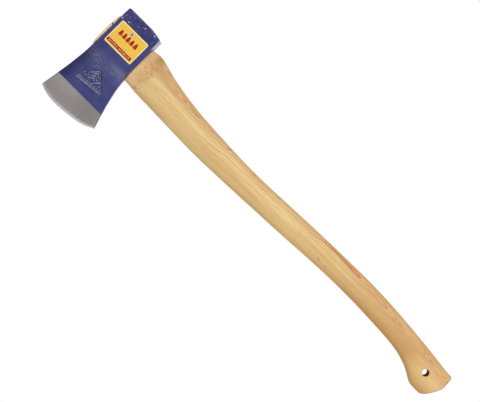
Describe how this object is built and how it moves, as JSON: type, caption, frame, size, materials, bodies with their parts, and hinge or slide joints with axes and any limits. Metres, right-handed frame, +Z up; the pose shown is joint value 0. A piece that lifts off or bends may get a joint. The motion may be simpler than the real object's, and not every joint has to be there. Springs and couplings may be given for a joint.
{
  "type": "felling axe",
  "caption": "Felling axe with a painted forged head, a ground bit and a curved wooden haft, wedged in the eye, for cutting standing timber.",
  "frame": {"origin": "centre of the eye's mouth, on the underside of the head, where the haft goes in", "axes": "+Z up through the eye, along the haft to its top; the cutting edge faces -X and the poll +X; the blade lies in the XZ plane, +Y goes through its thickness, and the labelled cheek faces -Y"},
  "size_m": [0.1842, 0.0307, 0.7596],
  "materials": {
    "head_steel": "blue-violet semi-gloss enamel over forged steel, with a bare ground bit",
    "haft_wood": "pale ring-porous wood, oiled, satin",
    "wedge_wood": "sawn wood, unfinished",
    "wedge_steel": "dark steel, as forged",
    "label_film": "printed sticker, gloss"
  },
  "bodies": {
    "root": {"axe_head": "head_steel", "haft": "haft_wood", "kerf_wedge": "wedge_wood", "cross_wedge": "wedge_steel", "label": "label_film"}
  },
  "joints": []
}
